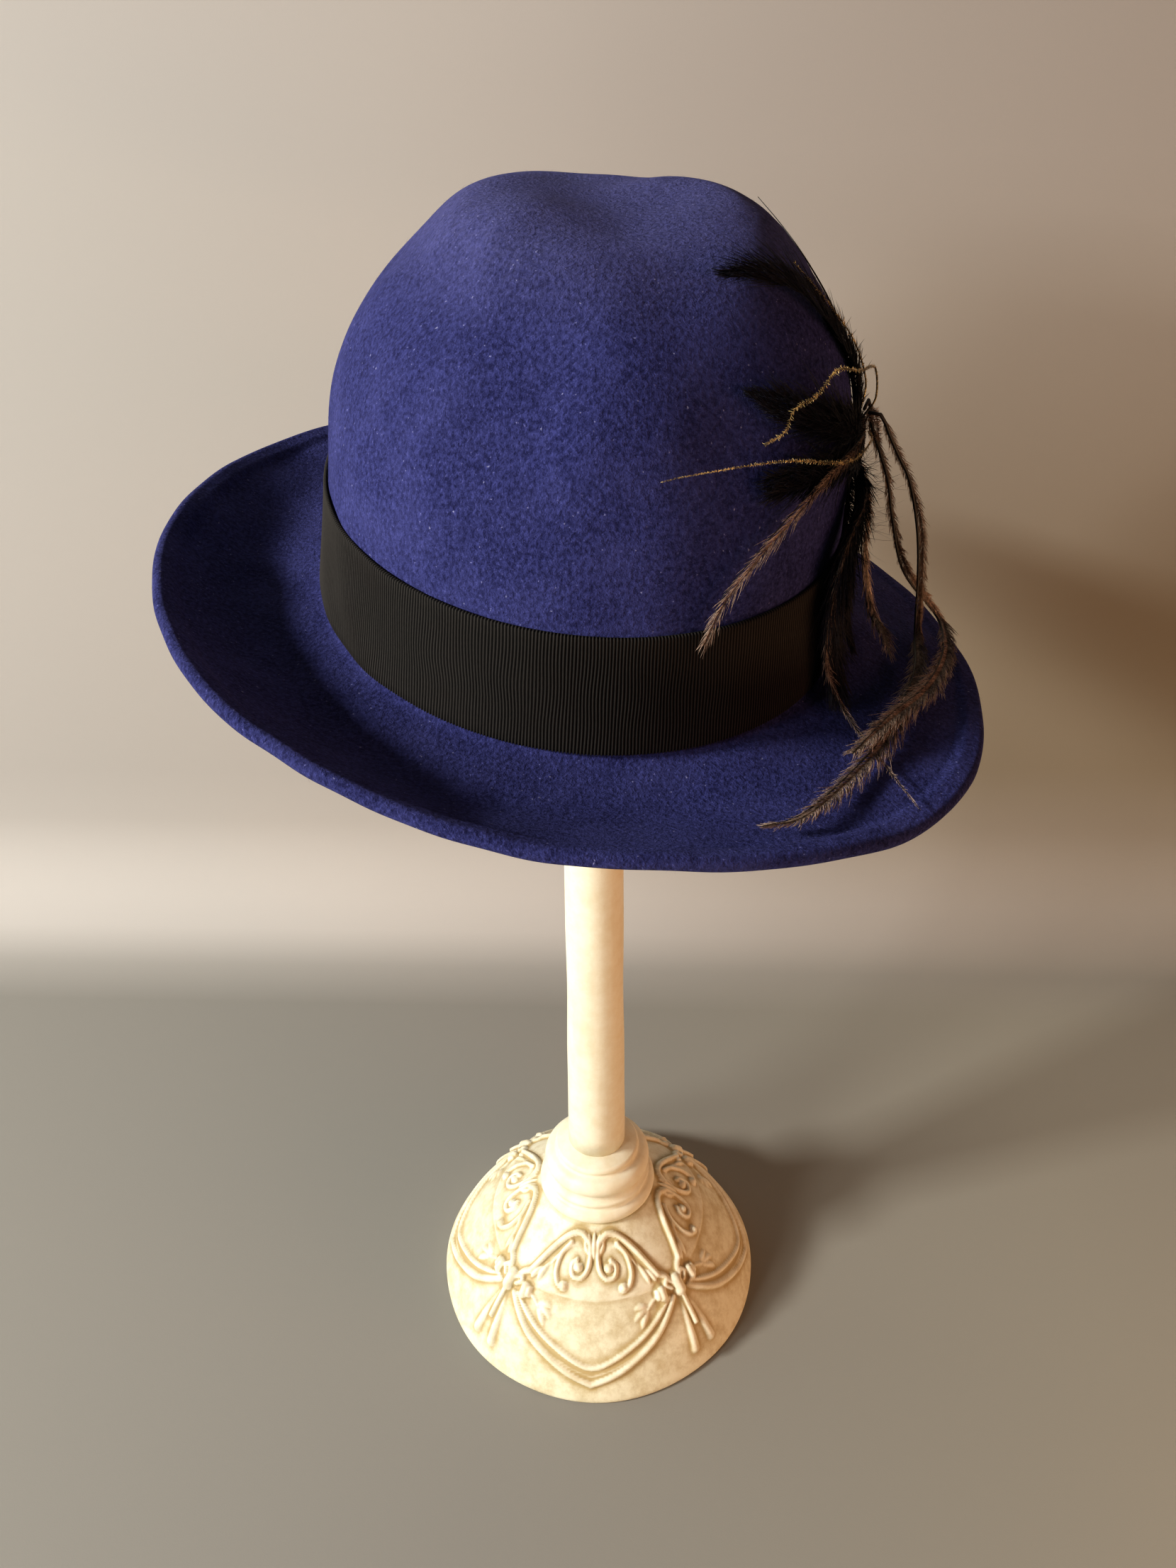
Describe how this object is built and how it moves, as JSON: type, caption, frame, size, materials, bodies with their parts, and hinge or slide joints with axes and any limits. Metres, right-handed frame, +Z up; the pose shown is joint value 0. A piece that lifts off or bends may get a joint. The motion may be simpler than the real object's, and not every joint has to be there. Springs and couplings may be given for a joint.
{
  "type": "fedora on hat stand",
  "caption": "Navy felt fedora with a black ribbed ribbon and a spray of dark feathers, resting on a cream turned stand with a domed base.",
  "frame": {"origin": "centre of the stand's round underside", "axes": "+Z up the stand's pole, -Y towards the front of the hat, +X towards the side with the feathers, which is the wearer's left"},
  "size_m": [0.2752, 0.3136, 0.5021],
  "materials": {
    "felt": "matt navy wool felt",
    "ribbon": "ribbed black grosgrain",
    "binding": "wound black thread",
    "feather_black": "glossy black with a blue sheen",
    "feather_brown": "soft dark brown",
    "feather_gold": "dull bronze",
    "stand_paint": "cream paint rubbed with an antique brown glaze"
  },
  "bodies": {
    "root": {"felt_body": "felt", "ribbon_band": "ribbon", "feather_binding": "binding", "hackle_up": "feather_black", "hackle_front": "feather_black", "hackle_low": "feather_black", "hackle_down": "feather_black", "hackle_side": "feather_black", "quill_long": "feather_brown", "herl_up": "feather_gold", "herl_kinked": "feather_gold", "herl_front": "feather_gold", "frond_front": "feather_brown", "frond_side": "feather_brown", "frond_brim": "feather_brown", "plume_outer": "feather_brown", "plume_inner": "feather_brown", "stand_base": "stand_paint", "stand_collar": "stand_paint", "stand_pole": "stand_paint", "stand_cap": "stand_paint"}
  },
  "joints": []
}
